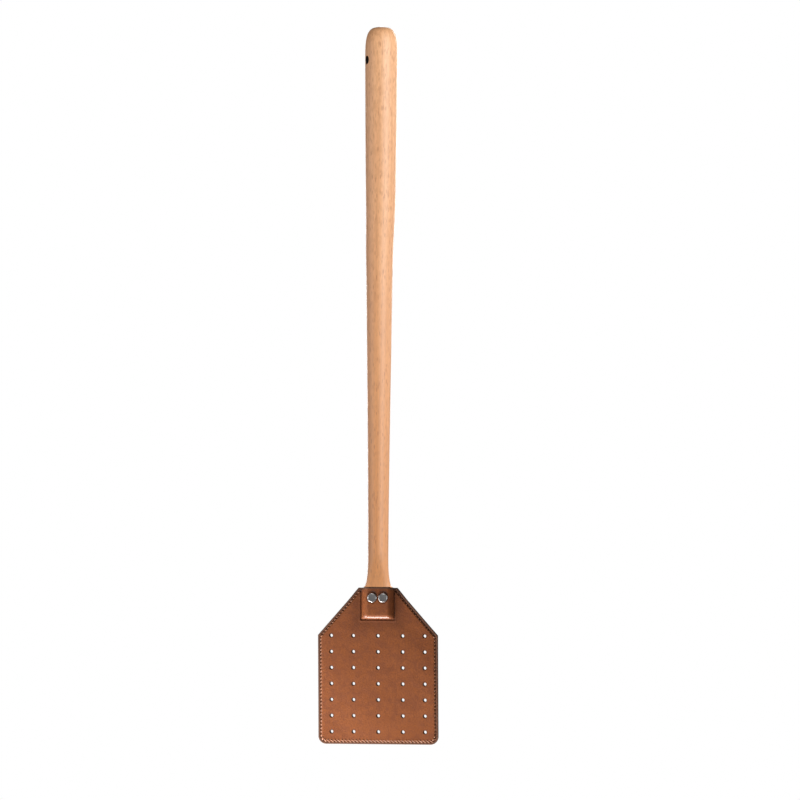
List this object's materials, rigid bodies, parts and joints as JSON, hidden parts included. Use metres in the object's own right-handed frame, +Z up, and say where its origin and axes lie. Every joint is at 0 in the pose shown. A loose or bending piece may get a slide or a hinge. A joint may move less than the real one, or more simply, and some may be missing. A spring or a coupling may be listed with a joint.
{
  "type": "fly swatter",
  "caption": "Long tapered round wooden handle with a hanging hole, its flattened end riveted between stitched, perforated leather plies that form a flexible head.",
  "frame": {"origin": "centre of the hanging hole, on the axis of the handle's shaft", "axes": "+Z up the handle to its rounded end, -Y out of the head's front face, +X to the right seen from the front"},
  "size_m": [0.083, 0.0224, 0.495],
  "materials": {
    "beech": "satin oiled beech, fine straight grain with short dark flecks",
    "leather": "smooth brown cowhide, semi-gloss, burnished edges",
    "thread": "waxed brown thread",
    "rivet": "polished nickel plate"
  },
  "bodies": {
    "handle": {"handle": "beech", "front_leather_neck": "leather", "back_leather_neck": "leather", "needle_thread_left": "thread", "needle_thread_right": "thread", "bobbin_thread_left": "thread", "bobbin_thread_right": "thread", "left_rivet_post": "rivet", "left_rivet_cap": "rivet", "right_rivet_post": "rivet", "right_rivet_cap": "rivet"},
    "flap": {"front_leather_flap": "leather", "back_leather_flap": "leather", "needle_thread_flap": "thread", "bobbin_thread_flap": "thread"}
  },
  "joints": [
    {"name": "head_flex", "type": "hinge", "parent": "handle", "child": "flap", "pos_m": [0, 0, -0.40263], "axis": [1, 0, 0], "range_deg": [-45, 45], "stiffness_Nm_per_rad": 0.3}
  ]
}
